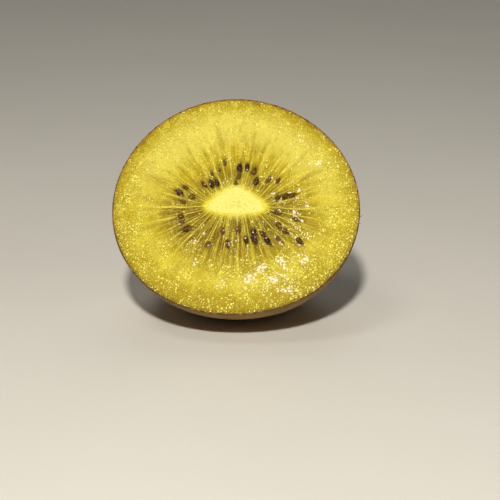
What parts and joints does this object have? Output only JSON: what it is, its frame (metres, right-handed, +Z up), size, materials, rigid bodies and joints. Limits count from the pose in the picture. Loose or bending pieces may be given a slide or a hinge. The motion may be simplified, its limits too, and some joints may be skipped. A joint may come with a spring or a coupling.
{
  "type": "golden kiwi half",
  "caption": "Half of a golden kiwi fruit, cut across and resting on its side with the cut face leaning back: pale core, fan of fine rays, dark seeds and brown skin.",
  "frame": {"origin": "centre of the bounding box at the height of the flat that the half rests on", "axes": "+X to the right along the cut face's long way, -Y towards the side that the cut face looks to, +Z up; the face's outward normal rises 33 degrees above -Y"},
  "size_m": [0.052, 0.0442, 0.0466],
  "materials": {
    "golden_flesh": "wet, translucent flesh",
    "brown_skin": "thin, dull skin with fine dots",
    "dark_seed": "smooth and glossy"
  },
  "bodies": {
    "root": {"kiwi_half": "golden_flesh"}
  },
  "joints": []
}
